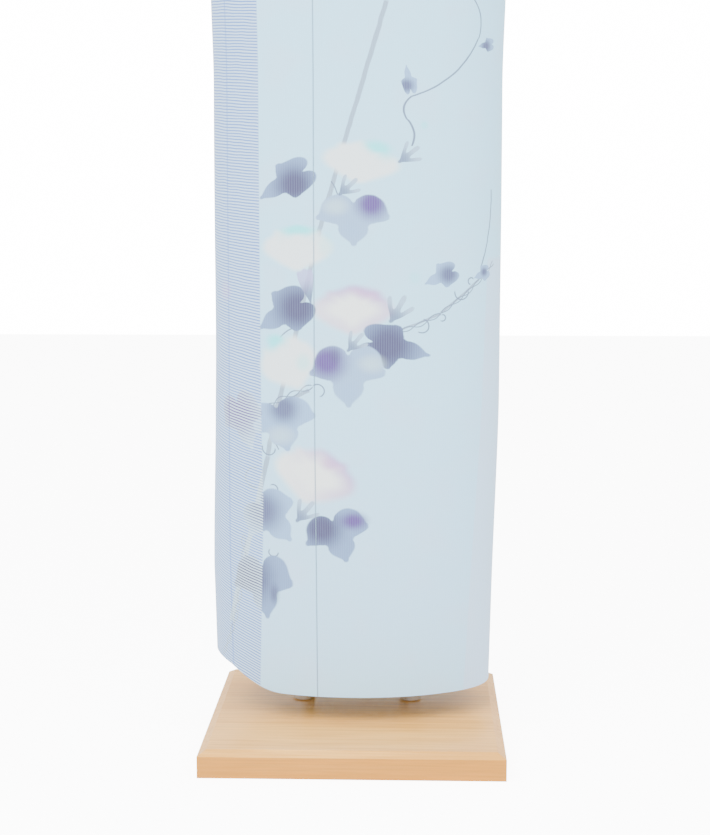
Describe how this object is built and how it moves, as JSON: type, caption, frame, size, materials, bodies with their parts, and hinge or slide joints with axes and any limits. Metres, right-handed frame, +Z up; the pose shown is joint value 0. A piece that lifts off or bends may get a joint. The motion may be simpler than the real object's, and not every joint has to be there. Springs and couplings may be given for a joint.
{
  "type": "kimono on dress form stand",
  "caption": "Women's unlined summer kimono of pale blue silk gauze with a flowering vine print, dressed on a limbless form with chrome posts and a wooden board",
  "frame": {"origin": "middle of the board's underside, where the stand rests on a floor", "axes": "+Z up; the kimono's front faces -Y; the wearer's left is +X"},
  "size_m": [1.2812, 0.36, 1.575],
  "materials": {
    "beech": "clear gloss lacquer",
    "chrome": "polished",
    "jersey": "fine knit cover",
    "gauze": "silk gauze with a soft sheen",
    "sash_silk": "plain woven silk"
  },
  "bodies": {
    "root": {"base_board": "beech", "post_left": "chrome", "post_right": "chrome", "sleeve_rod": "chrome", "form_body": "jersey", "left_body_panel": "gauze", "right_body_panel": "gauze", "left_okumi": "gauze", "right_okumi": "gauze", "left_sleeve": "gauze", "right_sleeve": "gauze", "collar": "gauze", "over_collar": "gauze", "waist_sash": "sash_silk"}
  },
  "joints": []
}
